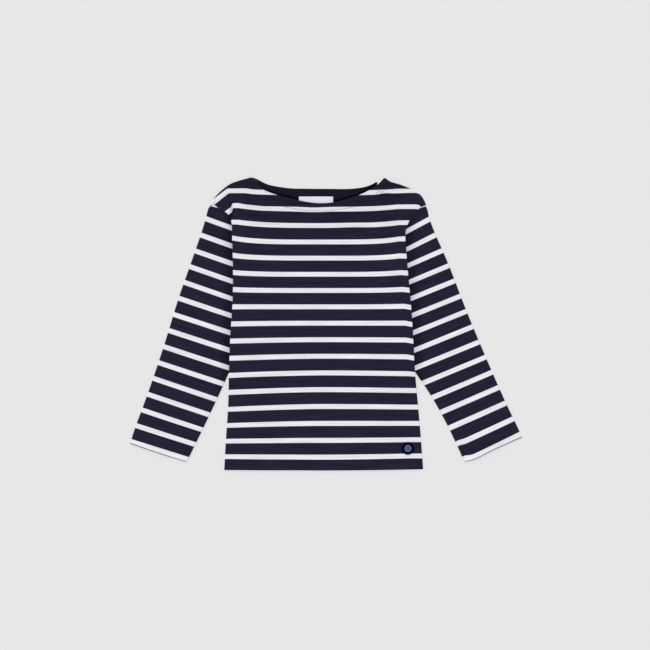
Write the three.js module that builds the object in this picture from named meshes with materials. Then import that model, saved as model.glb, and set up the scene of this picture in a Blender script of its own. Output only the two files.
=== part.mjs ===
// Breton shirt for a child of about seven, laid flat on its back, in millimetres.
// +X runs towards the wearer's left sleeve, +Y towards the neck and +Z up from the surface.
// The origin is on that surface, below the middle of the shirt's outline.
// The cloth is a heavy cotton jersey. Both sleeves are folded down beside the body, so the front
// and the back each lie over the inner part of a sleeve, from the shoulder to below the underarm.
import * as THREE from 'three';

// Cloth, its turned edges and its seams
const CLOTH = 1.2;
const TURNING = 1.0;
const SEAM_GAP = 0.3;
const EDGE_ROUND = 2.1;
const EDGE_RIM = 0.06;
const HEM_DEPTH = 18;
const CUFF_DEPTH = 18;
const NECK_DEPTH = 16;
const STEP_WIDTH = 3;

// Heights of the front's outer face above the surface
const BODY_TOP = 4.6;
const SLEEVE_RISE = 2.3;
const NECK_RISE = 1.7;
const HEM_RISE = 0.4;

// Heights of the side and shoulder seams, where front and back meet edge to edge
const SIDE_SEAM = 2.2;
const SHOULDER_SEAM = 3.0;

// Sleeve, pressed flatter where it lies between front and back
const SLEEVE_LENGTH = 425;
const SLEEVE_HEIGHT = 4.2;
const SLEEVE_CROWN = 1.3;
const CUFF_HEIGHT = 5.2;
const CUFF_FADE = 50;
const TUCKED_HEIGHT = 2.9;
const TUCKED_BASE = CLOTH + SEAM_GAP;
const SLEEVE_TOP = TUCKED_BASE + TUCKED_HEIGHT;
const PRESSED = { from: -44, to: -12 };

// The stretch of the outline, along Y, where front and back part to hold a sleeve
const PART = { start: -124, open: -101, closing: 204, shut: 228 };

// Half outlines. r is the wearer's right, at -X, and l the wearer's left, at +X.
const SIDE = {
  r: [
    { x: -173, y: -248.4 }, { x: -170, y: -196 }, { x: -166.3, y: -140 }, { x: -164.7, y: -82 },
    { x: -162.7, y: -24 }, { x: -158.9, y: 34 }, { x: -157.9, y: 85 }, { x: -159.4, y: 146 },
    { x: -159.8, y: 166 }, { x: -161.6, y: 177 }, { x: -165.6, y: 185 }, { x: -172.9, y: 191 },
    { x: -182.8, y: 196.5 }, { x: -198.4, y: 200.3 },
  ],
  l: [
    { x: 165.1, y: -247 }, { x: 161, y: -192 }, { x: 156.4, y: -138 }, { x: 151, y: -80 },
    { x: 148.1, y: -24 }, { x: 144.3, y: 34 }, { x: 139, y: 90 }, { x: 135.2, y: 142 },
    { x: 135, y: 157.8 }, { x: 139.4, y: 169.7 }, { x: 144.2, y: 179 }, { x: 153.8, y: 191.8 },
    { x: 160.7, y: 196.3 }, { x: 170.3, y: 199.8 },
  ],
};
const SHOULDER = {
  r: [
    { x: -198.4, y: 200.3 }, { x: -193.8, y: 207.9 }, { x: -186.2, y: 217.8 },
    { x: -175.4, y: 228.3 }, { x: -162.7, y: 237.5 }, { x: -147.9, y: 243.1 },
    { x: -132.6, y: 247.3 }, { x: -127.5, y: 249 },
  ],
  l: [
    { x: 170.3, y: 199.8 }, { x: 168, y: 207.1 }, { x: 164, y: 215.6 }, { x: 157.2, y: 222 },
    { x: 147.9, y: 227.5 }, { x: 139.2, y: 231.4 }, { x: 125.8, y: 236.6 }, { x: 108.5, y: 242 },
    { x: 100.6, y: 248 },
  ],
};
const FRONT_NECK = [
  { x: -127.5, y: 249 }, { x: -120.7, y: 242.8 }, { x: -113, y: 234.5 }, { x: -105.6, y: 228.6 },
  { x: -92, y: 222.6 }, { x: -78, y: 217.8 }, { x: -60, y: 213 }, { x: -38, y: 207.8 },
  { x: -15, y: 204.9 }, { x: 2, y: 205 }, { x: 20, y: 207.9 }, { x: 38, y: 212.7 },
  { x: 55, y: 218.3 }, { x: 70, y: 225 }, { x: 84, y: 234 }, { x: 92.6, y: 242 },
  { x: 100.6, y: 248 },
];
const BACK_NECK = [
  { x: -127.5, y: 249 }, { x: -120.2, y: 247 }, { x: -113.7, y: 243 }, { x: -105.9, y: 238.7 },
  { x: -97.4, y: 235.4 }, { x: -78, y: 230.9 }, { x: -60, y: 229.3 }, { x: -14, y: 229.2 },
  { x: 32, y: 229.7 }, { x: 52, y: 231.2 }, { x: 62, y: 233.2 }, { x: 71.4, y: 236.6 },
  { x: 80, y: 240 }, { x: 87, y: 243.6 }, { x: 100.6, y: 248 },
];
const HEM = [
  { x: -173, y: -248.4 }, { x: -70, y: -248.9 }, { x: 60, y: -248.8 }, { x: 165.1, y: -247 },
];

// Sleeve outlines, each from cuff to armhole. over is the fold over the arm, under the fold at the
// underarm, and cap the armhole end, which reaches a few millimetres below the front's edge.
const SLEEVE = {
  r: {
    over: [
      { x: -332.6, y: -203.3 }, { x: -323.3, y: -177.5 }, { x: -301.9, y: -115.9 },
      { x: -275.1, y: -36.2 }, { x: -248.9, y: 45 }, { x: -228.5, y: 100.8 },
      { x: -210.8, y: 154.4 }, { x: -203.3, y: 180.5 }, { x: -199.2, y: 197 }, { x: -193.5, y: 203 },
    ],
    under: [
      { x: -236.3, y: -234.3 }, { x: -207.9, y: -175.3 }, { x: -183.9, y: -124.4 },
      { x: -164.9, y: -82 }, { x: -134.3, y: -15.6 }, { x: -105.4, y: 40.5 },
    ],
    cuff: [
      { x: -332.6, y: -203.3 }, { x: -298, y: -215.4 }, { x: -266, y: -225.8 },
      { x: -236.3, y: -234.3 },
    ],
    cap: [
      { x: -193.5, y: 203 }, { x: -181.5, y: 200.3 }, { x: -170.5, y: 194.5 },
      { x: -162, y: 187.5 }, { x: -156.8, y: 177 }, { x: -148, y: 152 }, { x: -134, y: 118 },
      { x: -119, y: 82 }, { x: -105.4, y: 40.5 },
    ],
  },
  l: {
    over: [
      { x: 332.6, y: -192.8 }, { x: 327.4, y: -182.6 }, { x: 302.8, y: -129.5 },
      { x: 268.6, y: -51.7 }, { x: 237.5, y: 25.7 }, { x: 206, y: 103.2 },
      { x: 183.8, y: 153.7 }, { x: 174.2, y: 180.5 }, { x: 171.2, y: 196.5 }, { x: 165.6, y: 202.6 },
    ],
    under: [
      { x: 236, y: -233.6 }, { x: 208.8, y: -170.5 }, { x: 179.5, y: -120 },
      { x: 151, y: -79.4 }, { x: 117.3, y: -19 }, { x: 83.6, y: 40.5 },
    ],
    cuff: [
      { x: 332.6, y: -192.8 }, { x: 287, y: -213 }, { x: 250, y: -231 }, { x: 236, y: -233.6 },
    ],
    cap: [
      { x: 165.6, y: 202.6 }, { x: 158.5, y: 199.8 }, { x: 150.5, y: 194.8 },
      { x: 140.6, y: 181.3 }, { x: 135.8, y: 171.5 }, { x: 131.3, y: 160 }, { x: 122, y: 135 },
      { x: 110, y: 105 }, { x: 97, y: 75 }, { x: 83.6, y: 40.5 },
    ],
  },
};

// Largest folds of the front: soft ridges above its smooth outer face, and troughs below it
const FOLDS = [
  { x1: -159, y1: 120, x2: -161, y2: 226, width: 11, height: 1.5 },
  { x1: 134, y1: 128, x2: 152, y2: 205, width: 11, height: 1.3 },
  { x1: -148, y1: 60, x2: -100, y2: -30, width: 20, height: -0.6 },
  { x1: 128, y1: 60, x2: 84, y2: -35, width: 20, height: -0.6 },
  { x1: -60, y1: -60, x2: -48, y2: -215, width: 34, height: 0.5 },
  { x1: 66, y1: -40, x2: 74, y2: -215, width: 30, height: 0.4 },
];

// Back neck tape, label and badge
const TAPE = { thick: 1.0, depth: 27, inset: 1.0, end: 0.06, taper: 900, columns: 22 };
const LABEL = { x: -17, top: 217.4, width: 58, depth: 15, thick: 1.0 };
const BADGE = { x: 138.8, y: -211.7, radius: 10.4, thick: 1.6, rim: 1.5, dish: 0.4, motif: 3.4 };

// Colours: knitted cotton in ink navy, woven satin label, enamelled badge
const NAVY_JERSEY = { color: 0x26243a, roughness: 0.9, metalness: 0 };
const NAVY_TAPE = { color: 0x1c1b2c, roughness: 0.9, metalness: 0 };
const WHITE_SATIN = { color: 0xeceef4, roughness: 0.55, metalness: 0 };
const BADGE_BLUE = { color: 0x0a0f38, roughness: 0.4, metalness: 0 };

const mix = (a, b, t) => a + (b - a) * t;

function ease(low, high, value) {
  const t = Math.min(1, Math.max(0, (value - low) / (high - low)));
  return t * t * (3 - 2 * t);
}

// A smooth curve through the rows of a table, read by its share of the length
function curveThrough(rows) {
  const points = rows.map(({ x, y }) => new THREE.Vector3(x, y, 0));
  return new THREE.CatmullRomCurve3(points, false, 'centripetal');
}

// Several curves joined end to end, with the share of the whole at which each one starts
function joined(parts, breaks) {
  const curves = parts.map(curveThrough);
  return (t) => {
    let i = breaks.length - 2;
    while (i > 0 && t < breaks[i]) i -= 1;
    return curves[i].getPointAt((t - breaks[i]) / (breaks[i + 1] - breaks[i]));
  };
}

function single(rows) {
  return joined([rows], [0, 1]);
}

// The plan of a cut piece, spanned between its four edges
function span(bottom, top, near, far) {
  const corners = [bottom(0), bottom(1), top(0), top(1)];
  return (u, v) => {
    const b = bottom(u);
    const t = top(u);
    const n = near(v);
    const f = far(v);
    const blend = (k) => (1 - v) * b[k] + v * t[k] + (1 - u) * n[k] + u * f[k]
      - (1 - v) * ((1 - u) * corners[0][k] + u * corners[1][k])
      - v * ((1 - u) * corners[2][k] + u * corners[3][k]);
    return { x: blend('x'), y: blend('y') };
  };
}

// Distance from a point to a polyline
function distanceTo(line) {
  return ({ x, y }) => {
    let best = Infinity;
    for (let i = 0; i + 1 < line.length; i += 1) {
      const a = line[i];
      const dx = line[i + 1].x - a.x;
      const dy = line[i + 1].y - a.y;
      const t = Math.min(1, Math.max(0, ((x - a.x) * dx + (y - a.y) * dy) / (dx * dx + dy * dy)));
      best = Math.min(best, Math.hypot(x - a.x - t * dx, y - a.y - t * dy));
    }
    return best;
  };
}

function sampled(rows, steps = 120) {
  return curveThrough(rows).getSpacedPoints(steps);
}

const toSeamEdge = {
  r: distanceTo([...sampled(SIDE.r), ...sampled(SHOULDER.r)]),
  l: distanceTo([...sampled(SIDE.l), ...sampled(SHOULDER.l)]),
};
const toFrontNeck = distanceTo(sampled(FRONT_NECK));
const seamEdgeDistance = (p) => Math.min(toSeamEdge.r(p), toSeamEdge.l(p));

// How far a point lies inside the body's side edge; negative outside it
const sideLine = { r: sampled(SIDE.r), l: sampled(SIDE.l) };
function insideBody(p, side) {
  const line = sideLine[side];
  let above = 0;
  for (let i = 0; i + 1 < line.length; i += 1) {
    const a = line[i];
    const b = line[i + 1];
    if ((a.y > p.y) !== (b.y > p.y)) {
      const crossing = a.x + ((p.y - a.y) * (b.x - a.x)) / (b.y - a.y);
      above += side === 'r' ? p.x - crossing : crossing - p.x;
    }
  }
  return Math.sign(above) * distanceTo(line)(p);
}

// Quarter-round edge: 0 at the seam, 1 where the wall has turned flat
function turned(distance, radius) {
  const left = 1 - (distance + EDGE_RIM) / radius;
  return left <= 0 ? 1 : Math.sqrt(1 - left * left);
}

// 1 along the edges that part to hold a sleeve, 0 where front and back are sewn to each other
function parted(y) {
  return ease(PART.start, PART.open, y) * (1 - ease(PART.closing, PART.shut, y));
}

function seamHeight(y) {
  return mix(SIDE_SEAM, SHOULDER_SEAM, ease(0, 200, y));
}

function frontEdge(y) {
  return mix(seamHeight(y) + SEAM_GAP / 2, SLEEVE_TOP + SEAM_GAP, parted(y));
}

function backEdge(y) {
  return mix(seamHeight(y) - SEAM_GAP / 2, CLOTH, parted(y));
}

function foldHeight({ x, y }) {
  return FOLDS.reduce((sum, f) => {
    const line = [{ x: f.x1, y: f.y1 }, { x: f.x2, y: f.y2 }];
    const away = distanceTo(line)({ x, y }) / f.width;
    return sum + f.height * Math.exp(-away * away);
  }, 0);
}

// Height of the front's outer face: raised over the tucked sleeves and towards the neck
function frontTop(p) {
  const inboard = Math.min(p.x + 160, 143 - p.x);
  const over = ease(-125, -75, p.y) * (1 - 0.7 * ease(205, 245, p.y))
    * (1 - ease(58, 110, inboard));
  const neck = 1 - ease(18, 75, toFrontNeck(p));
  const hem = 1 - ease(HEM_DEPTH, HEM_DEPTH + STEP_WIDTH, p.y - HEM[0].y);
  return BODY_TOP + SLEEVE_RISE * over + NECK_RISE * neck * (1 - over) + HEM_RISE * hem
    + foldHeight(p);
}

// Wall thickness, doubled by the turning at the hem and at the front neck
function bodyWall(p, neckTurning) {
  const hem = 1 - ease(HEM_DEPTH, HEM_DEPTH + STEP_WIDTH, p.y - HEM[0].y);
  const neck = neckTurning * (1 - ease(NECK_DEPTH - STEP_WIDTH, NECK_DEPTH, toFrontNeck(p)));
  const clear = ease(EDGE_ROUND, EDGE_ROUND + STEP_WIDTH, seamEdgeDistance(p));
  return CLOTH + TURNING * Math.max(hem, neck) * clear;
}

// Front: its edges roll down to the seams
function frontOuter(p) {
  const edge = frontEdge(p.y);
  return edge + (frontTop(p) - edge) * turned(seamEdgeDistance(p), EDGE_ROUND);
}

function frontInner(p) {
  const edge = frontEdge(p.y);
  const away = seamEdgeDistance(p) - CLOTH;
  if (away <= 0) return edge;
  return edge + (frontTop(p) - bodyWall(p, 1) - edge) * turned(away, EDGE_ROUND - CLOTH);
}

// Back: flat on the surface, its edges roll up to the seams
function backOuter(p) {
  return backEdge(p.y) * (1 - turned(seamEdgeDistance(p), EDGE_ROUND));
}

function backInner(p) {
  const edge = backEdge(p.y);
  const away = seamEdgeDistance(p) - CLOTH;
  if (away <= 0) return edge;
  return mix(edge, bodyWall(p, 0), turned(away, EDGE_ROUND - CLOTH));
}

function mesh(name, positions, faces, finish) {
  const geometry = new THREE.BufferGeometry();
  geometry.setAttribute('position', new THREE.Float32BufferAttribute(positions, 3));
  geometry.setIndex(faces);
  geometry.computeVertexNormals();
  const made = new THREE.Mesh(geometry, new THREE.MeshStandardMaterial(finish));
  made.name = name;
  return made;
}

// A closed wall between an upper and a lower face that share one plan grid
function wall(name, plan, us, vs, upper, lower, finish) {
  const positions = [];
  const faces = [];
  const across = us.length;
  const layer = across * vs.length;
  for (const face of [upper, lower]) {
    for (const v of vs) {
      for (const u of us) {
        const p = plan(u, v);
        positions.push(p.x, p.y, face(p));
      }
    }
  }
  const quad = (a, b, c, d) => faces.push(a, b, c, a, c, d);
  for (let j = 0; j + 1 < vs.length; j += 1) {
    for (let i = 0; i + 1 < across; i += 1) {
      const a = j * across + i;
      quad(a, a + 1, a + 1 + across, a + across);
      quad(layer + a, layer + a + across, layer + a + 1 + across, layer + a + 1);
    }
  }
  const rim = [];
  for (let i = 0; i < across; i += 1) rim.push(i);
  for (let j = 1; j < vs.length; j += 1) rim.push(j * across + across - 1);
  for (let i = across - 2; i >= 0; i -= 1) rim.push((vs.length - 1) * across + i);
  for (let j = vs.length - 2; j > 0; j -= 1) rim.push(j * across);
  rim.forEach((a, k) => {
    const b = rim[(k + 1) % rim.length];
    quad(layer + a, layer + b, b, a);
  });
  return mesh(name, positions, faces, finish);
}

// Where the neck starts and ends along the top edge of a body panel
const NECK_FROM = 0.19;
const NECK_TO = 0.81;
const SIDE_STEPS = [0, 0.0018, 0.0045, 0.0085];
const CORNER_STEPS = [-0.01, 0, 0.004, 0.012, 0.03];
const TOP_STEPS = [0, 0.0016, 0.004, 0.0075];

// Points and rings of a sleeve
const SLEEVE_EDGE_STEPS = [0, 0.4, 1.1, 2.3];
const SLEEVE_MIDDLES = 8;
const SLEEVE_RINGS = 21;

function bodyPlan(neck) {
  const top = joined(
    [SHOULDER.r, neck, [...SHOULDER.l].reverse()],
    [0, NECK_FROM, NECK_TO, 1],
  );
  return span(single(HEM), top, single(SIDE.r), single(SIDE.l));
}

// Columns of a body panel, closest together at its sides and below the corners of the neck
function bodyColumns(shoulders, neck) {
  const corner = CORNER_STEPS.map((t) => NECK_FROM + t);
  const half = [...SIDE_STEPS];
  for (let i = 1; i < shoulders; i += 1) half.push(mix(SIDE_STEPS[3], corner[0], i / shoulders));
  half.push(...corner);
  for (let i = 1; i < neck; i += 1) half.push(mix(corner[4], 0.5, i / neck));
  return [...half, 0.5, ...half.map((t) => 1 - t).reverse()];
}

function bodyRows(count) {
  const hemShare = HEM_DEPTH / (FRONT_NECK[0].y - HEM[0].y);
  const rows = [0, hemShare, hemShare * 1.2];
  for (let i = 1; i < count; i += 1) rows.push(mix(rows[2], 1 - TOP_STEPS[3], i / count));
  return [...rows, ...TOP_STEPS.map((t) => 1 - t).reverse()];
}

function frontPanel() {
  return wall('front', bodyPlan(FRONT_NECK), bodyColumns(5, 6), bodyRows(19),
    frontOuter, frontInner, NAVY_JERSEY);
}

function backPanel() {
  return wall('back', bodyPlan(BACK_NECK), bodyColumns(4, 4), bodyRows(14),
    backInner, backOuter, NAVY_JERSEY);
}

// Places across a sleeve of the given width, closest together at its two folded edges
function placesAcross(width, inset) {
  const edge = SLEEVE_EDGE_STEPS.map((step) => step + inset);
  const last = edge[edge.length - 1];
  const places = [...edge];
  for (let i = 1; i < SLEEVE_MIDDLES; i += 1) places.push(mix(last, width - last, i / SLEEVE_MIDDLES));
  return [...places, ...edge.map((step) => width - step).reverse()];
}

// One ring of points round a sleeve, at share s of its length, inset from its outer face
function sleeveRing(plan, side, s, inset) {
  const start = plan(0, s);
  const end = plan(1, s);
  const width = Math.hypot(end.x - start.x, end.y - start.y);
  const cuff = 1 - ease(CUFF_DEPTH, CUFF_DEPTH + CUFF_FADE, s * SLEEVE_LENGTH);
  const upper = [];
  const lower = [];
  for (const place of placesAcross(width, inset)) {
    const p = plan(place / width, s);
    const pressed = ease(PRESSED.from, PRESSED.to, insideBody(p, side));
    const free = mix(SLEEVE_HEIGHT, CUFF_HEIGHT, cuff)
      + SLEEVE_CROWN * Math.sin((Math.PI * place) / width);
    const height = mix(free, TUCKED_HEIGHT, pressed);
    const fromEdge = Math.min(place, width - place) - inset;
    const half = (height / 2 - inset) * turned(fromEdge, EDGE_ROUND - inset / 2);
    const middle = TUCKED_BASE * pressed + height / 2;
    upper.push({ ...p, z: middle + half });
    lower.push({ ...p, z: middle - half });
  }
  return [...upper, ...lower.reverse()];
}

function sleeveStations() {
  const turning = [0, CUFF_DEPTH / SLEEVE_LENGTH, (CUFF_DEPTH + STEP_WIDTH) / SLEEVE_LENGTH];
  const rest = [];
  for (let i = 1; i <= SLEEVE_RINGS; i += 1) rest.push(mix(turning[2], 1, i / SLEEVE_RINGS));
  return [...turning, ...rest];
}

// A flattened tube from cuff to armhole: rings of outer points round rings of inner points
function sleeve(name, side) {
  const { over, under, cuff, cap } = SLEEVE[side];
  const plan = span(single(cuff), single(cap), single(over), single(under));
  const positions = [];
  const faces = [];
  const stations = sleeveStations();
  let count = 0;
  for (const s of stations) {
    const turning = TURNING * (1 - ease(CUFF_DEPTH, CUFF_DEPTH + STEP_WIDTH, s * SLEEVE_LENGTH));
    const outer = sleeveRing(plan, side, s, 0);
    const inner = sleeveRing(plan, side, s, CLOTH + turning);
    count = outer.length;
    for (const p of [...outer, ...inner]) positions.push(p.x, p.y, p.z);
  }
  const quad = (a, b, c, d) => {
    if (side === 'l') faces.push(a, c, b, a, d, c);
    else faces.push(a, b, c, a, c, d);
  };
  for (let j = 0; j < stations.length; j += 1) {
    const here = j * 2 * count;
    const there = here + 2 * count;
    for (let i = 0; i < count; i += 1) {
      const k = (i + 1) % count;
      if (j === 0) quad(here + count + i, here + count + k, here + k, here + i);
      if (j + 1 < stations.length) {
        quad(here + i, here + k, there + k, there + i);
        quad(here + count + k, here + count + i, there + count + i, there + count + k);
      } else {
        quad(here + i, here + k, here + count + k, here + count + i);
      }
    }
  }
  return mesh(name, positions, faces, NAVY_JERSEY);
}

// Plain tape over the turned edge of the back neck, inside the shirt. It narrows downwards a little.
function neckTape() {
  const neck = single(BACK_NECK);
  const edge = (drop) => (u) => {
    const p = neck(mix(TAPE.end, 1 - TAPE.end, u));
    return { x: p.x * (1 - drop / TAPE.taper), y: p.y - drop };
  };
  const top = edge(TAPE.inset);
  const bottom = edge(TAPE.depth);
  const side = (u) => (v) => ({
    x: mix(bottom(u).x, top(u).x, v),
    y: mix(bottom(u).y, top(u).y, v),
  });
  const low = CLOTH + SEAM_GAP;
  const us = Array.from({ length: TAPE.columns + 1 }, (_, i) => i / TAPE.columns);
  return wall('neck_tape', span(bottom, top, side(0), side(1)), us, [0, 0.5, 1],
    () => low + TAPE.thick, () => low, NAVY_TAPE);
}

function label() {
  const low = CLOTH + SEAM_GAP + TAPE.thick + SEAM_GAP;
  const geometry = new THREE.BoxGeometry(LABEL.width, LABEL.depth, LABEL.thick);
  const made = new THREE.Mesh(geometry, new THREE.MeshStandardMaterial(WHITE_SATIN));
  made.name = 'neck_label';
  made.position.set(LABEL.x, LABEL.top - LABEL.depth / 2, low + LABEL.thick / 2);
  return made;
}

// Round badge near the hem, with a raised rim and a plain raised ring for a motif
function badge() {
  const { radius, thick, rim, dish, motif } = BADGE;
  const profile = [
    [0, 0], [radius, 0], [radius, thick * 0.6], [radius - rim * 0.4, thick], [radius - rim, thick],
    [radius - rim - dish, thick - dish], [motif + dish, thick - dish], [motif, thick], [0, thick],
  ].map(([x, y]) => new THREE.Vector2(x, y));
  const geometry = new THREE.LatheGeometry(profile, 28);
  geometry.rotateX(Math.PI / 2);
  const made = new THREE.Mesh(geometry, new THREE.MeshStandardMaterial(BADGE_BLUE));
  made.name = 'badge';
  made.position.set(BADGE.x, BADGE.y, frontTop(BADGE) + SEAM_GAP);
  return made;
}

const shirt = new THREE.Group();
shirt.add(
  backPanel(),
  sleeve('sleeve_right', 'r'),
  sleeve('sleeve_left', 'l'),
  neckTape(),
  label(),
  frontPanel(),
  badge(),
);

export default shirt;
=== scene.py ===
"""A child's breton shirt, laid flat on its back with both sleeves folded down beside the body.

The tables give plan positions and heights in millimetres, in the frame of the solids: +X towards
the wearer's left sleeve, +Y towards the neck and +Z up from the surface. Meshes are in metres.
"""
import math

import bmesh
import bpy
import numpy as np
from mathutils import Matrix


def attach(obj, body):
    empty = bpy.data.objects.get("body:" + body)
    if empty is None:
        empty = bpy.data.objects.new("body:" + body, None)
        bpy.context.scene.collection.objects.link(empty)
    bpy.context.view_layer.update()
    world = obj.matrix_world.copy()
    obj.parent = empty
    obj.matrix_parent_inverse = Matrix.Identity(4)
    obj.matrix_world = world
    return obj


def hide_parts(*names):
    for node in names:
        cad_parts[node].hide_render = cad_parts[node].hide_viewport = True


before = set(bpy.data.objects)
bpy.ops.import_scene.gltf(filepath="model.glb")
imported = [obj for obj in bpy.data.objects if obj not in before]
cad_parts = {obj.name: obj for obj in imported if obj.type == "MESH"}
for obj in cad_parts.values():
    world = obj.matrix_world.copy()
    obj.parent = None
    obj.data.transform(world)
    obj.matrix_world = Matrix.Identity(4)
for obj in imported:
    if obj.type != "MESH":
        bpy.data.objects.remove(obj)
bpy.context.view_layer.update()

MM = 0.001

# Cloth, its turned edges and its seams. FOLD is the radius of a turned edge. EDGE_ROUND is how far
# a sewn edge rounds over, and STEP_WIDTH how far the thicker hem falls off.
CLOTH = 1.0
FOLD = 1.05
EDGE_ROUND = 2.1
HEM_DEPTH = 17
CUFF_DEPTH = 17
NECK_DEPTH = 17.2
BACK_NECK_FOLD = 0.6
BACK_NECK_DEPTH = 9
SHOULDER_TURN = {"fold": 1.5, "depth": 4, "drop": 0.15}
STEP_WIDTH = 3

# Topstitching lies this far inside the edge of a turning and pulls a groove into the cloth. The
# neck's row comes closer in the middle, and its groove fades towards the seams.
STITCH_INSET = 0.8
GROOVE = {"depth": 0.22, "width": 0.8, "fade": (2, 14)}
NECK_ROW = {"ends": (-102, 92.6), "middle": -4, "spread": 38, "closer": 3.2}
HEM_ROW = (-171, 162.4)
CUFF_ROW = (0.03, 0.97)
ROW_POINTS = {"hem": 200, "cuff": 60, "tack": 40}

# Stitches, and how far a thread's middle lies above the cloth or, underneath, above the surface
HEM_STITCH = {"length": 2.6, "gap": 1.0, "radius": 0.22}
NECK_STITCH = {"length": 2.8, "gap": 0.45, "radius": 0.28}
TACK_STITCH = {"length": 1.5, "gap": 0.05, "radius": 0.25}
THREAD_FLATNESS = 1.2
THREAD_PROUD = 0.12
THREAD_UNDER = 0.05

# Heights of the front's outer face, of the seams and of the back's parted edge above the surface
BODY_TOP = 4.6
SLEEVE_RISE = 2.2
NECK_RISE = 1.7
HEM_RISE = 0.4
SIDE_SEAM = 2.2
SHOULDER_SEAM = 3.0
SEAM_CLIMB = (0, 200)
SEAM_GAP = 0.3
BACK_EDGE = 1.2

# Where the front is raised, over the tucked sleeves inboard of the armholes and round the neck,
# and how it falls beyond the shoulder bends
RAISED = {"armholes": (-160, 143), "y": (-125, -75), "upper_y": (205, 245), "upper_loss": 0.7,
          "inboard": (50, 110), "neck": (18, 75)}
FALL = {"y": (150, 185), "r": 0.075, "r_width": 40, "l": 0.05, "l_width": 30}

# Sleeves. One is pressed flat between these distances inside the body's edge, negative outside it.
SLEEVE_LENGTH = 425
SLEEVE_HEIGHT = 4.2
SLEEVE_CROWN = 1.3
CUFF_HEIGHT = 5.2
CUFF_FADE = 50
TUCKED_HEIGHT = 2.9
TUCKED_BASE = 1.5
SLEEVE_TOP = TUCKED_BASE + TUCKED_HEIGHT
PRESSED = (-40, -6)

# Along Y, where front and back part to hold a sleeve
PART = {"opens": (-124, -101), "shuts": (204, 228)}

# The stripe repeat of the cloth, and the share of it that is white
STRIPE = 28.2
WHITE_SHARE = 0.289

# The knit as drawn: a stitch's width and height, the slant of its legs, the step of a stripe's edge
# at each leg and its softness as a share of the repeat, the relief, and, along X and Y, how many
# streaks of uneven yarn there are in a metre
WALE = 1.6
COURSE = 1.41
LEG_SLANT = 1.2
LEG_STEP = 0.9
STRIPE_SOFTNESS = 0.008
KNIT_DEPTH = 0.2
STREAKS = (14, 420, 0)

# Distance from a trimmed edge over which its navy line ends. NO_EDGE marks cloth without one.
TRIMMED = (1.1, 1.9)
NO_EDGE = 50

# Grids of cloth: rows round a fold and across what it turns in, and stops that crowd the faces
# where the cloth turns, as shares of the columns or rows against shares of the width or length
FOLD_ROWS = 6
TURNING_ROWS = 4
TURNED_ROWS = FOLD_ROWS + TURNING_ROWS
PANEL_STOPS = ((0, 0.045, 0.17, 0.3, 0.5), (0, 0.0072, 0.16, 0.24, 0.5))
PANEL_ROW_STOPS = ((0, 0.955, 1), (0, 0.992, 1))
SLEEVE_STOPS = ((0, 0.13, 0.87, 1), (0, 0.022, 0.978, 1))
TOP_STEPS = {"shoulder": 190, "neck": 620}
GRID = {"front": (170, 190), "back": (190, 150), "sleeve": (96, 150), "tape": (120, 26),
        "label": (96, 30)}

# Shares of a panel's width: where the neck starts, how far in a side edge's bends are felt, and how
# clear of the side seams the turned-in cloth stays
NECK_FROM = 0.19
NECK_FADE = 0.012
SIDE_FADE = 0.25
SIDE_CLEAR = 0.0075
SIDE_CLEAR_FADE = 0.15

# Half outlines of the body as (x, y), from hem to shoulder tip and from tip to neck
SIDE = {
    "r": [(-173, -248.4), (-170, -196), (-166.3, -140), (-164.7, -82), (-162.7, -24), (-158.9, 34),
          (-157.9, 85), (-159.4, 146), (-159.8, 166), (-161.6, 177), (-165.6, 185), (-172.9, 191),
          (-182.8, 196.5), (-198.4, 200.3)],
    "l": [(165.1, -247), (161, -192), (156.4, -138), (151, -80), (148.1, -24), (144.3, 34),
          (139, 90), (135.2, 142), (135, 157.8), (139.4, 169.7), (144.2, 179), (153.8, 191.8),
          (160.7, 196.3), (170.3, 199.8)],
}
SHOULDER = {
    "r": [(-198.4, 200.3), (-193.8, 207.9), (-186.2, 217.8), (-175.4, 228.3), (-162.7, 237.5),
          (-147.9, 243.1), (-132.6, 247.3), (-127.5, 249)],
    "l": [(170.3, 199.8), (168, 207.1), (164, 215.6), (157.2, 222), (147.9, 227.5), (139.2, 231.4),
          (125.8, 236.6), (108.5, 242), (100.6, 248)],
}
FRONT_NECK = [
    (-127.5, 249), (-120.7, 242.8), (-113, 234.2), (-106, 227.8), (-92, 221.6), (-78, 217.4),
    (-60, 213), (-38, 207.8), (-15, 204.9), (2, 205), (20, 207.9), (38, 212.7), (55, 218.3),
    (70, 225), (80, 231.2), (85, 234.6), (90.2, 238.6), (93.8, 242.4), (96.9, 246), (100.6, 248),
]
BACK_NECK = [
    (-127.5, 249), (-121.5, 247.6), (-114.7, 244.7), (-108, 241), (-101, 237.8), (-94.3, 235.6),
    (-86, 233.9), (-77.3, 232.5), (-60.3, 230.3), (-30, 229.6), (10, 229.4), (32, 229.2),
    (48.4, 230), (61.4, 231.8), (68.2, 233.4), (73.8, 235.2), (79.5, 237.8), (84.5, 240.6),
    (86.9, 241.5), (87, 239.6), (85.9, 237.6), (84.6, 234.6), (85.6, 232.4), (91, 236),
    (96.2, 242.4), (100.6, 248),
]
HEM = [(-173, -248.4), (-70, -248.9), (60, -248.8), (165.1, -247)]

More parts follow.
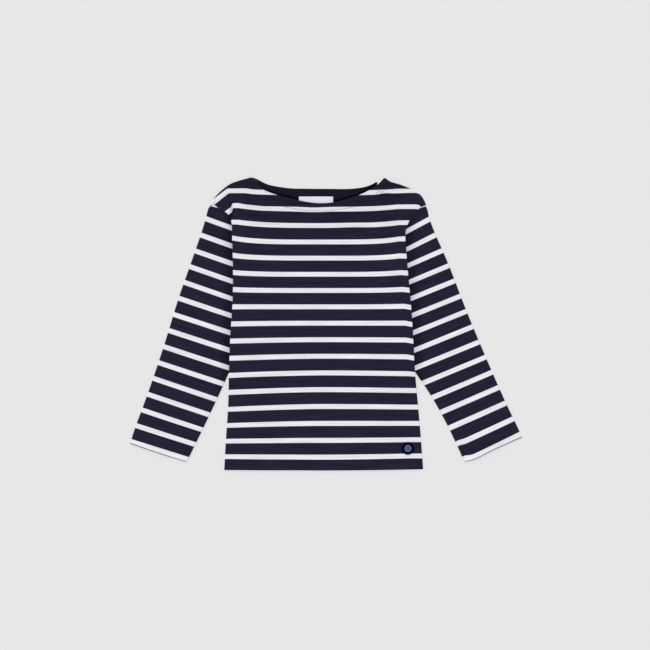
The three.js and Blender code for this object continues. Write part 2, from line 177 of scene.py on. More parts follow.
# Sleeve outlines from cuff to armhole. over is the fold over the arm, under the underarm seam.
SLEEVE = {
    "r": {
        "over": [(-332.8, -203.3), (-324.6, -177.5), (-302, -115.9), (-275.1, -36.2),
                 (-250, 45), (-230.4, 100.8), (-211.9, 154.4), (-203.9, 180.5), (-199.2, 197),
                 (-193.5, 203)],
        "under": [(-236.3, -234.3), (-207.5, -175.3), (-183.5, -124.4), (-164.4, -82),
                  (-134.3, -15.6), (-105.4, 40.5)],
        "cuff": [(-332.8, -203.3), (-298, -215.4), (-266, -225.8), (-236.3, -234.3)],
        "cap": [(-193.5, 203), (-181.5, 200.3), (-170.5, 194.5), (-162, 187.5), (-156.8, 177),
                (-148, 152), (-134, 118), (-119, 82), (-105.4, 40.5)],
    },
    "l": {
        "over": [(332.8, -192.8), (328.6, -182.6), (303.5, -129.5), (269.4, -51.7), (237.3, 25.7),
                 (207.3, 103.2), (185.3, 153.7), (175.2, 180.5), (171.2, 196.5), (165.6, 202.6)],
        "under": [(235, -233.8), (205.2, -170.5), (177, -120), (150, -79.4), (117.3, -19),
                  (83.6, 40.5)],
        "cuff": [(332.8, -192.8), (287, -213), (250, -231), (235, -233.8)],
        "cap": [(165.6, 202.6), (158.5, 199.8), (150.5, 194.8), (140.6, 181.3), (135.8, 171.5),
                (131.3, 160), (122, 135), (110, 105), (97, 75), (83.6, 40.5)],
    },
}

# From the hem up: the centre of white stripe n at the front's middle line (y), with how far it rises
# towards the wearer's right edge and left edge, read at REACH from the middle line
MIDDLE_X = -1.7
REACH = {"r": 151, "l": 127}
BODY_STRIPES = {
    "n": (18, 17, 16, 15, 14, 13, 11, 9, 7, 5, 4, 3, 2, 1),
    "y": (-255.5, -226.5, -198.1, -169.2, -140.5, -111.9, -55.2, 0.9, 56.4, 111.3, 138.7, 166.6, 194.3,
          221.9),
    "rise_r": (1.4, 0.9, -1.2, -3.3, -4.5, -4.2, -3.0, -1.2, 1.2, 3.6, 5.4, 5.9, 6.6, 3.8),
    "rise_l": (1.9, 1.8, 1.0, 0.0, -0.9, -1.3, -0.9, 0.0, 1.4, 3.6, 5.3, 5.1, 4.8, 3.3),
}
# A rise grows with a power of the share of REACH, for low, middle and high stripes, up to the
# furthest share, for low and high ones
RISE = {"power": (1.6, 4.6, 3.4), "furthest": (1.12, 0.97), "middle": (-30, 60), "high": (130, 180)}

# The cloth beyond these lines turns down over the shoulder, so its stripes slope
BEND_R = [
    {"y": 140, "x": -164, "slope": 1.1},
    {"y": 176.5, "x": -160.2, "slope": 1.1},
    {"y": 190, "x": -157.6, "slope": 0.7},
    {"y": 206, "x": -157.8, "slope": 0.7},
    {"y": 222, "x": -163.9, "slope": 0.8},
    {"y": 230.6, "x": -166.6, "slope": 0.77},
]
BEND_SOFTNESS = 1.5
BEND_FADE = (150, 180)
# The short crease beside the bend, where the stripes also step down within a width
BEND_STEP = {"y": (172, 186, 197, 206, 214), "drop": (0, 6.9, 6.9, 3.2, 0), "width": (2, 2, 2, 5, 5)}
BEND_L = {"x": 150, "rate": 0.0025, "y": (175, 190)}
# Passes that settle which stripe lies at a point
PASSES = {"body": 16, "sleeve": 4}

# Slivers of white along the armhole seams, near the shoulder tips. The tips themselves are navy,
# which is a stripe number no lower than NAVY_TIP.
SLIVERS = {"r": {"from": 182.5, "width": 2.4}, "l": {"from": 157, "width": 1.4}}
SLIVER_TAPER = 4
SLIVER_LOW_Y = 190
NAVY_TIP = 0.3

# Small places where the cloth was pulled as it was laid, so a stripe's edge leaves its line: where,
# the half widths, and by how much, which is negative where the edge rises
PULLS = [
    ((-151, 205), (10, 4), -1.5),
    ((101, 222), (13, 4), -2.1),
    ((100, 229.5), (10, 3.5), 0.7),
    ((146, 221.5), (20, 4), -1.2),
    ((-137, 227), (9, 8), -1.2),
    ((-108, 197), (18, 6), 0.9),
    ((-20, 194), (24, 6), 1.7),
    ((46, 166), (26, 6), -1.2),
]
SLEEVE_PULLS = {
    "r": [],
    "l": [((234, -225), (10, 9), 4.2), ((225, -203), (8, 9), 2.2)],
}
# Beside the wearer's left sleeve the stripes sag
SAG = {"by": 2, "width": 14, "starts": (-110, -60), "ends": (140, 160)}

# Painted shade: the share of the light left where the cloth goes under another piece, and where
# that fades: on a sleeve beside the body, narrower where it is sewn flush; in the crease at the
# wearer's right shoulder; on the back under the front's neck; and on the front below it
HOLLOW = {
    "sleeve": {"light": 0.72, "width": 19, "sewn_width": 8, "sewn_y": (150, 190),
               "fade_r": (178, 196), "fade_l": (162, 182)},
    "shoulder": {"light": 0.62, "starts": (-1, 1.5), "ends": (3, 9), "low_y": (158, 172),
                 "high_y": (196, 206)},
    "neck": {"light": 0.02, "width": (1.2, 5.5), "end_light": 0.62, "end_x": (38, 72),
             "corner_x": (-114, -100), "seam": (0.4, 1.2), "hem": (0.5, 2.5)},
    "front": {"light": 0.94, "width": (10, 95)},
}
# Cloth lower than this is the underside, which no hollow darkens
UNDERSIDE = 0.8

# Sleeve stripes, counted from 0 at the tip: the upper edge of each white one crosses the straight
# line from shoulder tip to cuff corner at this distance from the tip, and falls towards the body
# at this angle
SLEEVE_LINE = {"r": ((-198.4, 200.3), (-332.7, -203.3)), "l": ((170.3, 199.8), (332.5, -192.8))}
SLEEVE_STRIPES = {
    "r": {
        "at": (18.5, 47.6, 76.2, 104.3, 132.6, 161.2, 190.1, 218.5, 247.2, 275.9, 303.9, 332.5, 360.9,
               389.2, 417.5),
        "angle": (20, 19.5, 19.2, 19.3, 19.2, 18.5, 18, 18.05, 18.15, 18.15, 18.6, 18.6, 18.35, 17.85,
                  17.4),
    },
    "l": {
        "at": (18.1, 46.9, 76.2, 104.2, 131.9, 159.5, 187.3, 215.3, 243.5, 271.5, 299.3, 327.4, 356.4,
               386, 414.7),
        "angle": (28.6, 27, 23.8, 22.6, 22.1, 21.9, 21.9, 22.1, 22.2, 22.5, 23, 23.3, 23.7, 24.7, 26),
    },
}

# Creases, each a soft ridge, or a trough where its height is negative: from, to, width and
# height
FRONT_CREASES = [
    ((-158, 110), (-161, 222), 9, 1.3),
    ((133, 125), (147, 202), 9, 1.1),
    ((-152, 84), (-118, 8), 13, -0.7),
    ((-140, 112), (-96, 34), 11, 0.45),
    ((131, 80), (98, 2), 13, -0.6),
    ((122, 118), (84, 52), 11, 0.4),
    ((-130, 232), (-98, 186), 9, -0.45),
    ((104, 232), (82, 190), 9, -0.45),
    ((-40, 120), (-26, 20), 24, 0.55),
    ((44, 96), (30, -10), 22, -0.5),
    ((-112, -70), (-104, -250), 20, 0.8),
    ((-62, -110), (-56, -250), 16, -0.6),
    ((-8, -90), (-2, -250), 22, 0.6),
    ((58, -120), (66, -250), 17, -0.55),
    ((104, -60), (112, -200), 18, 0.6),
]
SLEEVE_CREASES = {
    "r": [
        ((-196, 150), (-212, 60), 8, 0.5),
        ((-176, 120), (-206, 20), 9, -0.6),
        ((-178, 20), (-226, -40), 9, 0.5),
        ((-176, -62), (-240, -96), 8, -0.5),
        ((-252, -40), (-288, -150), 11, 0.45),
        ((-226, -150), (-262, -208), 10, -0.35),
    ],
    "l": [
        ((168, 146), (190, 60), 8, 0.5),
        ((152, 110), (184, 20), 9, -0.6),
        ((162, 14), (216, -46), 9, 0.5),
        ((164, -70), (226, -104), 8, -0.5),
        ((238, -30), (282, -136), 11, 0.45),
        ((226, -150), (262, -204), 10, -0.35),
    ],
}

# Loops of thread that end the neck's topstitching, near its corners
NECK_TACKS = [
    [(85.6, 220), (87.2, 223.4), (90.9, 225.6), (94.6, 225.9)],
    [(92.9, 220.3), (95, 223.2), (98.2, 225.2), (101.4, 226.1)],
    [(-106, 224.2), (-102, 223.4), (-98.4, 222)],
]

# Back neck tape, label and badge. The tape follows the back neck's first rows and then a corner of
# its own. Tape and label are lower at their edges, by a drop over a width.
TAPE = {"thick": 1.0, "wall": 0.65, "depth": 27, "inset": 1.0, "ends": (0.06, 0.9), "taper": 900,
        "neck_rows": 17, "corner": [(86, 241.6), (100.6, 249)], "edge": (0.35, 0.9)}
LABEL = {"x": -17, "top": 216.1, "width": 58, "depth": 15, "thick": 1.0, "wall": 0.6,
         "edge": (0.3, 0.8), "seam": {"inset": 2.2, "width": 0.7, "depth": 0.15}}
BADGE = {"x": 139, "y": -211.4, "radius": 10.7, "thick": 1.6, "rim": 1.5, "recess": 0.5,
         "proud": 0.42, "foot": 0.4, "ring": (3.6, 5.4), "ring_bevel": 0.3, "dot": 1.7, "steps": 72}

# Studio light: an even white dome and one wide soft key from the upper left; angles in degrees.
# The floor is a light table, so the shirt throws next to no shadow.
SKY_STRENGTH = 0.78
KEY_STRENGTH = 1.05
KEY_SPREAD = 35
KEY_TILT = 42
KEY_TURN = 30
FLOOR = {"half": 6000, "below": 0.2, "glow": 0.62}

# The camera looks straight down. The square photograph has PHOTO_SIDE pixels of PIXEL millimetres.
PHOTO_SIDE = 650
PIXEL = 1.7
CAMERA = {"x": -1.7, "y": -2.0, "height": 3000, "sensor": 36, "far": 50}

# Mesh finish: points closer than WELD metres are one, and sharper angles than these stay sharp
WELD = 1e-7
SHARP_CLOTH = 60
SHARP_BADGE = 50
# Square of the length below which a piece of a line counts as a point
TINY = 1e-12
# A Wave texture of scale 1 repeats at this length. The relief of weave and enamel is this deep.
WAVE_REPEAT = 0.314
WEAVE_DEPTH = 0.1


# Plan curves

def mix(a, b, t):
    return a + (b - a) * t


def ease(low, high, value):
    """A smooth step, from 0 at low to 1 at high."""
    t = np.clip((value - low) / (high - low), 0, 1)
    return t * t * (3 - 2 * t)


def between(value, starts, ends):
    """1 between two fades, each given as a pair, and 0 outside them."""
    return ease(*starts, value) * (1 - ease(*ends, value))


def lengths_along(line):
    """Length of the line up to each of its points."""
    return np.concatenate([[0], np.cumsum(np.linalg.norm(np.diff(line, axis=0), axis=1))])


def read_off(line, lengths, at):
    """Points of a line whose points lie at these lengths, read off at other lengths."""
    return np.stack([np.interp(at, lengths, line[:, k]) for k in range(line.shape[1])], axis=-1)


def curve_through(rows, steps=240, fine=24):
    """Evenly spaced points of a centripetal Catmull-Rom curve through the rows."""
    points = np.array(rows, float)
    ends = np.vstack([2 * points[0] - points[1], points, 2 * points[-1] - points[-2]])
    t = np.linspace(0, 1, fine, endpoint=False)[:, None]
    line = []
    for a, b, c, d in zip(ends, ends[1:], ends[2:], ends[3:]):
        ta, tb, tc = (math.sqrt(math.dist(p, q)) for p, q in ((a, b), (b, c), (c, d)))
        start = tb * ((b - a) / ta - (c - a) / (ta + tb) + (c - b) / tb)
        end = tb * ((c - b) / tb - (d - b) / (tb + tc) + (d - c) / tc)
        line.append(b + start * t + (3 * (c - b) - 2 * start - end) * t ** 2
                    + (2 * (b - c) + start + end) * t ** 3)
    line = np.vstack(line + [points[-1:]])
    lengths = lengths_along(line)
    return read_off(line, lengths, np.linspace(0, lengths[-1], steps + 1))


def along(line, t):
    """Points of an evenly spaced line at shares t of its length."""
    return read_off(line, np.linspace(0, 1, len(line)), t)


def edge_of(rows):
    line = curve_through(rows)
    return lambda t: along(line, t)


def offset_line(line, away):
    """The line moved down the front, each point by its own distance, square to the line."""
    run = np.gradient(line, axis=0)
    run = run / np.linalg.norm(run, axis=1)[:, None]
    return line + away[:, None] * np.column_stack([run[:, 1], -run[:, 0]])


def span(bottom, top, near, far, fade):
    """The plan of a cut piece, spanned between its four edges, as a function of shares u and v.

    fade says how the bends of a side edge die out with the share of the width that lies between.
    """
    def plan(u, v):
        corners = [edge(np.array(e, float)) for edge in (bottom, top) for e in (0.0, 1.0)]
        u_col, v_col = u[..., None], v[..., None]
        straight_near = mix(corners[0], corners[2], v_col)
        straight_far = mix(corners[1], corners[3], v_col)
        return (mix(bottom(u), top(u), v_col) + fade(u_col) * (near(v) - straight_near)
                + fade(1 - u_col) * (far(v) - straight_far))
    return plan


def distance(p, line):
    """Distance from each point of p to a line."""
    best = np.full(p.shape[:-1], np.inf)
    for a, b in zip(line, line[1:]):
        d = b - a
        t = np.clip(((p - a) @ d) / max(d @ d, TINY), 0, 1)
        best = np.minimum(best, np.hypot(p[..., 0] - a[0] - t * d[0], p[..., 1] - a[1] - t * d[1]))
    return best


SIDE_LINES = {side: curve_through(SIDE[side], 90) for side in "rl"}
SEAM_LINES = {side: np.vstack([SIDE_LINES[side], curve_through(SHOULDER[side], 40)]) for side in "rl"}
FRONT_NECK_LINE = curve_through(FRONT_NECK, 90)


def seam_distance(p):
    return np.minimum(distance(p, SEAM_LINES["r"]), distance(p, SEAM_LINES["l"]))


def inside_body(p, side):
    """How far points lie inside the body's side edge; negative outside it."""
    line = SIDE_LINES[side]
    order = np.argsort(line[:, 1])
    edge_x = np.interp(p[..., 1], line[order, 1], line[order, 0])
    inward = p[..., 0] - edge_x if side == "r" else edge_x - p[..., 0]
    return np.sign(inward) * distance(p, line)


def creases(p, rows):
    """Height that the creases add to the cloth."""
    total = np.zeros(p.shape[:-1])
    for start, end, width, height in rows:
        away = distance(p, np.array([start, end], float)) / width
        total += height * np.exp(-away ** 2)
    return total


def pulled(p, rows):
    """How far the small pulls of the cloth move its stripes."""
    total = np.zeros(p.shape[:-1])
    for at, size, by in rows:
        away = np.linalg.norm((p - np.array(at)) / np.array(size), axis=-1)
        total += by * np.exp(-away ** 2)
    return total


def groove(away):
    """How deep a row of stitches pulls the cloth in, at a distance from the row."""
    return GROOVE["depth"] * np.exp(-(away / GROOVE["width"]) ** 2)


# Heights of the body panels

def rounded(away, width=EDGE_ROUND):
    """Quarter-round edge: 0 at the seam, 1 where the cloth has turned flat."""
    return np.sqrt(1 - (1 - np.clip(away / width, 0, 1)) ** 2)


def parted(y):
    """How far front and back are parted by a sleeve between them: 0 sewn shut, 1 fully parted."""
    return between(y, PART["opens"], PART["shuts"])


def seam_height(y):
    return mix(SIDE_SEAM, SHOULDER_SEAM, ease(*SEAM_CLIMB, y))


def bend_r(y, column="x"):
    return np.interp(y, [row["y"] for row in BEND_R], [row[column] for row in BEND_R])


def neck_seam_depth(x):
    """How far the neck's topstitching lies from the edge."""
    away = (x - NECK_ROW["middle"]) / NECK_ROW["spread"]
    return NECK_DEPTH - STITCH_INSET - NECK_ROW["closer"] * np.exp(-away ** 2)


def front_top(p):
    """Outer face of the front, raised over the tucked sleeves and towards the neck."""
    x, y = p[..., 0], p[..., 1]
    inboard = np.minimum(x - RAISED["armholes"][0], RAISED["armholes"][1] - x)
    over = ease(*RAISED["y"], y) * (1 - RAISED["upper_loss"] * ease(*RAISED["upper_y"], y))
    over = over * (1 - ease(*RAISED["inboard"], inboard))
    from_neck = distance(p, FRONT_NECK_LINE)
    neck = 1 - ease(*RAISED["neck"], from_neck)
    from_hem = y - HEM[0][1]
    hem = 1 - ease(HEM_DEPTH, HEM_DEPTH + STEP_WIDTH, from_hem)
    top = BODY_TOP + SLEEVE_RISE * over + NECK_RISE * neck * (1 - over) + HEM_RISE * hem
    fall = FALL["r"] * np.clip(bend_r(y) - x, 0, FALL["r_width"])
    fall = fall + FALL["l"] * np.clip(x - BEND_L["x"], 0, FALL["l_width"])
    hem_groove = groove(from_hem - HEM_DEPTH + STITCH_INSET)
    neck_groove = groove(from_neck - neck_seam_depth(x)) * ease(*GROOVE["fade"], seam_distance(p))
    return top + creases(p, FRONT_CREASES) - fall * ease(*FALL["y"], y) - hem_groove - neck_groove


def front_height(p):
    edge = mix(seam_height(p[..., 1]) + SEAM_GAP / 2, SLEEVE_TOP + SEAM_GAP, parted(p[..., 1]))
    return edge + (front_top(p) - edge) * rounded(seam_distance(p))


def back_height(p):
    edge = mix(seam_height(p[..., 1]) - SEAM_GAP / 2, BACK_EDGE, parted(p[..., 1]))
    return edge * (1 - rounded(seam_distance(p)))


# Stripes: the cloth's own coordinates, across and along the repeat

def body_cloth(p):
    x, y = p[..., 0], p[..., 1]
    level = y
    for _ in range(PASSES["body"]):
        turned = np.clip(bend_r(level) - x, 0, None)
        soft = np.sqrt(turned ** 2 + BEND_SOFTNESS ** 2) - BEND_SOFTNESS
        width = np.interp(level, BEND_STEP["y"], BEND_STEP["width"])
        step = np.interp(level, BEND_STEP["y"], BEND_STEP["drop"]) * ease(0, 1, turned / width)
        level = (level + y + bend_r(level, "slope") * soft * ease(*BEND_FADE, y) + step) / 2
    beyond = np.clip(x - BEND_L["x"], 0, None)
    level = level + BEND_L["rate"] * beyond ** 3 * ease(*BEND_L["y"], y)
    ys = BODY_STRIPES["y"]
    low, middle, high = RISE["power"]
    in_high = ease(*RISE["high"], level)
    power = mix(mix(low, middle, ease(*RISE["middle"], level)), high, in_high)
    for side, sign in (("r", -1), ("l", 1)):
        reach = np.clip(sign * (x - MIDDLE_X) / REACH[side], 0, mix(*RISE["furthest"], in_high))
        level = level - np.interp(level, ys, BODY_STRIPES["rise_" + side]) * reach ** power
    level = level + pulled(p, PULLS)
    beside = 1 - ease(0, SAG["width"], inside_body(p, "l"))
    level = level + SAG["by"] * beside * between(y, SAG["starts"], SAG["ends"])
    above = np.clip(level - ys[-1], 0, None) / (ys[-1] - ys[-2])
    number = np.maximum(np.interp(level, ys, BODY_STRIPES["n"]) - above, NAVY_TIP)
    for side, sign in (("r", -1), ("l", 1)):
        sliver = SLIVERS[side]
        width = sliver["width"] * np.clip((sign * x - sliver["from"]) / SLIVER_TAPER, 0, 1)
        beside_seam = (distance(p, SIDE_LINES[side]) < width) & (y > SLIVER_LOW_Y)
        number = np.where(beside_seam, 1, number)
    return x, number * STRIPE


def sleeve_cloth(side):
    tip, cuff = (np.array(end, float) for end in SLEEVE_LINE[side])
    run = (cuff - tip) / math.dist(tip, cuff)
    at, angles = (SLEEVE_STRIPES[side][key] for key in ("at", "angle"))
    numbers = np.arange(len(at))
    inward = 1 if side == "r" else -1

    def cloth(p):
        rel = p - tip
        t = rel @ run
        for _ in range(PASSES["sleeve"]):
            angle = np.interp(t, at, np.radians(angles))
            sx, sy = inward * np.cos(angle), -np.sin(angle)
            t = (rel[..., 0] * sy - rel[..., 1] * sx) / (run[0] * sy - run[1] * sx)
        across = rel[..., 0] * run[1] - rel[..., 1] * run[0]
        t = t + pulled(p, SLEEVE_PULLS[side])
        before = np.clip(at[0] - t, 0, None) / STRIPE
        after = np.clip(t - at[-1], 0, None) / STRIPE
        number = np.interp(t, at, numbers) - before + after - WHITE_SHARE / 2
        return across, np.minimum(number, numbers[-1]) * STRIPE
    return cloth


# Hollows: painted shade, where less light reaches the cloth as it goes under another piece

# Painted shade on a sleeve beside the body's edge
def sleeve_hollow(side, p):
    hollow = HOLLOW["sleeve"]
    width = mix(hollow["width"], hollow["sewn_width"], ease(*hollow["sewn_y"], p[..., 1]))
    light = mix(hollow["light"], 1, ease(*hollow["fade_" + side], p[..., 1]))
    return mix(light, 1, np.clip(-inside_body(p, side) / width, 0, 1))


def front_hollow(p):
    """Painted shade in the crease at the wearer's right shoulder, and on the cloth below the neck."""
    hollow, below = HOLLOW["shoulder"], HOLLOW["front"]
    beside = between(bend_r(p[..., 1]) - p[..., 0], hollow["starts"], hollow["ends"])
    crease = beside * between(p[..., 1], hollow["low_y"], hollow["high_y"])
    below_neck = mix(below["light"], 1, ease(*below["width"], distance(p, FRONT_NECK_LINE)))
    return mix(1, hollow["light"], crease) * below_neck


def neck_hollow(p):
    """Painted shade, down to a near black line, on the back and its tape under the front's neck edge."""
    hollow, line = HOLLOW["neck"], FRONT_NECK_LINE
    x, y = p[..., 0], p[..., 1]
    away = np.where(y > np.interp(x, line[:, 0], line[:, 1]), distance(p, line), 0)
    end = mix(1, hollow["end_light"], ease(*hollow["end_x"], x))
    light = mix(hollow["light"], 1, ease(*hollow["width"], away)) * end
    inner = ease(*hollow["seam"], seam_distance(p)) * ease(*hollow["hem"], y - HEM[0][1])
    return mix(1, light, inner * ease(*hollow["corner_x"], x))


# Mesh making

def mesh_of(bm, name):
    """The bmesh as a mesh with smooth faces. The bmesh is freed."""
    mesh = bpy.data.meshes.new(name)
    bm.to_mesh(mesh)
    bm.free()
    mesh.shade_smooth()
    return mesh


def put(name, data):
    """A new object in the scene."""
    made = bpy.data.objects.new(name, data)
    bpy.context.scene.collection.objects.link(made)
    return made


def grid_mesh(name, grid, place, wall=CLOTH, flip=False, weld=False):
    """A sheet of cloth: a grid whose points are moved into place, then given its thickness.

    place maps column and row shares to plan points, heights, the cloth's own coordinates (across,
    along the repeat and from the trimmed edge) and the share of light that the painted shade leaves.
    """
    bm = bmesh.new()
    bmesh.ops.create_grid(bm, x_segments=grid[0], y_segments=grid[1], size=0.5)
    shares = np.array([vert.co[:2] for vert in bm.verts]) + 0.5
    plan_points, heights, cloth, shade = place(shares[:, 0], shares[:, 1])
    points = np.column_stack([plan_points, heights])
    cloth = np.column_stack(np.broadcast_arrays(*cloth))
    cloth_layer = bm.verts.layers.float_vector.new("cloth")
    shade_layer = bm.verts.layers.float.new("shade")
    for vert, point, coordinate, share in zip(bm.verts, points * MM, cloth * MM, shade):
        vert.co = point
        vert[cloth_layer] = coordinate
        vert[shade_layer] = share
    if weld:
        bmesh.ops.remove_doubles(bm, verts=bm.verts[:], dist=WELD)
    if flip:
        bmesh.ops.reverse_faces(bm, faces=bm.faces[:])
    carrier = put(name, mesh_of(bm, name + "_sheet"))
    solid = carrier.modifiers.new("wall", "SOLIDIFY")
    solid.thickness = wall * MM
    solid.offset = -1
    solid.use_even_offset = False
    mesh = bpy.data.meshes.new_from_object(carrier.evaluated_get(bpy.context.evaluated_depsgraph_get()))
    mesh.name = name
    sheet = carrier.data
    bpy.data.objects.remove(carrier)
    bpy.data.meshes.remove(sheet)
    # The underside lies on the surface, and gets no painted shade
    for vertex, share in zip(mesh.vertices, mesh.attributes["shade"].data):
        vertex.co.z = max(vertex.co.z, 0)
        if vertex.co.z < UNDERSIDE * MM:
            share.value = 1
    mesh.set_sharp_from_angle(angle=math.radians(SHARP_CLOTH))
    return mesh


def piece(name, mesh, material, replaced=None):
    made = put(name, mesh)
    mesh.materials.append(material)
    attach(made, "root")
    if replaced:
        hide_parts(replaced)
    return made


def turning(rows_in):
    """A turned edge by rows counted into it: the fold's angle, and the share turned in beyond it."""
    angle = np.clip(rows_in / FOLD_ROWS, 0, 1) * math.pi
    return angle, np.clip((rows_in - FOLD_ROWS) / TURNING_ROWS, 0, 1)


def panel_column(share):
    """Column shares, closest together at the sides and below the corners of the neck."""
    half = np.interp(np.minimum(share, 1 - share), *PANEL_STOPS)
    return np.where(share > 0.5, 1 - half, half)


def body_panel(name, neck, height, side, neck_fold, neck_return, grid):
    """Front or back: the panel, with its hem and its top edge turned to the inside.

    side is 1 where the inside lies below the outer face and -1 where it lies above.
    """
    shoulder = TOP_STEPS["shoulder"]
    joined = np.vstack([
        along(curve_through(SHOULDER["r"]), np.linspace(0, 1, shoulder, endpoint=False)),
        along(curve_through(neck), np.linspace(0, 1, TOP_STEPS["neck"], endpoint=False)),
        along(curve_through(SHOULDER["l"]), np.linspace(1, 0, shoulder + 1)),
    ])
    plan = span(edge_of(HEM), lambda t: along(joined, t), edge_of(SIDE["r"]), edge_of(SIDE["l"]),
                fade=lambda share: 1 - ease(0, SIDE_FADE, share))
    length = FRONT_NECK[0][1] - HEM[0][1]
    rows = grid[1]

    def place(column, row):
        u = panel_column(column)
        at_neck = between(u, (NECK_FROM - NECK_FADE, NECK_FROM + NECK_FADE),
                          (1 - NECK_FROM - NECK_FADE, 1 - NECK_FROM + NECK_FADE))
        index = row * rows
        hem_turn = np.clip(TURNED_ROWS - index, 0, TURNED_ROWS)
        top_turn = np.clip(index - (rows - TURNED_ROWS), 0, TURNED_ROWS)
        hem_angle, hem_inside = turning(hem_turn)
        top_angle, top_inside = turning(top_turn)

        hem_away = mix(FOLD * (1 - np.sin(hem_angle)), HEM_DEPTH, hem_inside)
        neck_away = mix(neck_fold * (1 - np.sin(top_angle)), neck_return, top_inside)
        seam_away = mix(SHOULDER_TURN["fold"] * top_angle / math.pi, SHOULDER_TURN["depth"], top_inside)
        top_away = mix(seam_away, neck_away, at_neck)

        body = np.clip((index - TURNED_ROWS) / (rows - 2 * TURNED_ROWS), 0, 1)
        body = np.interp(body, *PANEL_ROW_STOPS)
        v_flat = mix(FOLD / length, 1 - neck_fold * at_neck / length, body)
        v = np.where(hem_turn > 0, hem_away / length, v_flat)
        v = np.where(top_turn > 0, 1 - top_away / length, v)

        turned = np.maximum(hem_angle, top_angle) / math.pi
        near_side = 1 - ease(0, SIDE_CLEAR_FADE, np.minimum(u, 1 - u))
        u = u + SIDE_CLEAR * turned * near_side * np.sign(0.5 - u)
        p = plan(u, v)
        seam_drop = SHOULDER_TURN["drop"] * top_angle / math.pi
        top_drop = mix(seam_drop, neck_fold * (1 - np.cos(top_angle)), at_neck)
        drop = FOLD * (1 - np.cos(hem_angle)) + np.where(top_turn > 0, top_drop, 0)
        z = height(plan(u, v_flat)) - side * drop
        shade = neck_hollow(p) if side < 0 else front_hollow(p)
        return p, z, (*body_cloth(p), NO_EDGE), shade

    return grid_mesh(name, grid, place, flip=side < 0)


def sleeve_points(side, place_share, s, inset, upper):
    """Points of one face of a sleeve, at shares across and along it, inset from its outer face."""
    edges = (edge_of(SLEEVE[side][name]) for name in ("cuff", "cap", "over", "under"))
    plan = span(*edges, fade=lambda share: 1 - share)
    width = np.linalg.norm(plan(np.ones_like(s), s) - plan(np.zeros_like(s), s), axis=-1)
    away = inset + place_share * (width - 2 * inset)
    p = plan(away / width, s)
    pressed = ease(*PRESSED, inside_body(p, side))
    from_cuff = s * SLEEVE_LENGTH
    cuff = 1 - ease(CUFF_DEPTH, CUFF_DEPTH + CUFF_FADE, from_cuff)
    free = mix(SLEEVE_HEIGHT, CUFF_HEIGHT, cuff) + SLEEVE_CROWN * np.sin(math.pi * away / width)
    height = mix(free, TUCKED_HEIGHT, pressed)
    middle = TUCKED_BASE * pressed + height / 2
    from_edge = np.minimum(away, width - away) - inset
    round_edge = rounded(from_edge, EDGE_ROUND - inset / 2)
    half = (height / 2 - inset) * round_edge
    relief = creases(p, SLEEVE_CREASES[side]) * (1 - pressed)
    relief = (relief - groove(from_cuff - CUFF_DEPTH + STITCH_INSET)) * round_edge
    z = np.where(upper, middle + half + relief, middle - half)
    return p, z


def sleeve_mesh(name, side):
    grid = GRID["sleeve"]

    def place(column, row):
        upper = column <= 0.5
        share = np.interp(np.where(upper, column * 2, 2 - column * 2), *SLEEVE_STOPS)
        index = row * grid[1]
        turn = np.clip(TURNED_ROWS - index, 0, TURNED_ROWS)
        angle, inside = turning(turn)
        away = mix(FOLD * (1 - np.sin(angle)), CUFF_DEPTH, inside)
        body = np.clip((index - TURNED_ROWS) / (grid[1] - TURNED_ROWS), 0, 1)
        s = np.where(turn > 0, away / SLEEVE_LENGTH, mix(FOLD / SLEEVE_LENGTH, 1, body))
        p, z = sleeve_points(side, share, s, FOLD * (1 - np.cos(angle)), upper)
        edge = np.where(turn > 0, away, s * SLEEVE_LENGTH)
        return p, z, (*sleeve_cloth(side)(p), edge), sleeve_hollow(side, p)

    return grid_mesh(name, grid, place, flip=side == "l", weld=True)


# Materials

def linear(hex_colour):
    """sRGB hex to linear colour."""
    values = [int(hex_colour[i:i + 2], 16) / 255 for i in (1, 3, 5)]
    return [v / 12.92 if v <= 0.04045 else ((v + 0.055) / 1.055) ** 2.4 for v in values] + [1.0]


def feed(tree, node, inputs):
    """Gives a node's inputs their values, or links them to sockets or to other nodes.

    A node stands for the first of its outputs that is in use.
    """
    for name, value in dict(inputs).items():
        if isinstance(value, bpy.types.Node):
            value = next(output for output in value.outputs if output.enabled)
        if isinstance(value, bpy.types.NodeSocket):
            tree.links.new(value, node.inputs[name])
        else:
            node.inputs[name].default_value = value
    return node


def add(tree, kind, inputs=(), **settings):
    """Adds one shader node with its settings and inputs."""
    made = tree.nodes.new("ShaderNode" + kind)
    for key, value in settings.items():
        setattr(made, key, value)
    return feed(tree, made, inputs)


def new_material(name, sockets):
    made = bpy.data.materials.new(name)
    made.use_nodes = True
    return made, made.node_tree, feed(made.node_tree, made.node_tree.nodes["Principled BSDF"], sockets)


def surface(tree, shader, colour, height, strength, depth):
    """Gives the shader its colour, and a relief of this depth in millimetres."""
    bump = add(tree, "Bump", {"Height": height, "Strength": strength, "Distance": depth * MM})
    feed(tree, shader, {"Base Color": colour, "Normal": bump})


def in_hollows(tree, colour, power=1.0):
    """The colour with painted shade: darker where the cloth goes under another piece."""
    shade = add(tree, "Attribute", attribute_name="shade")
    share = add(tree, "Math", {0: shade.outputs["Fac"], 1: power}, operation="POWER")
    return add(tree, "VectorMath", {0: colour, "Scale": share}, operation="SCALE")


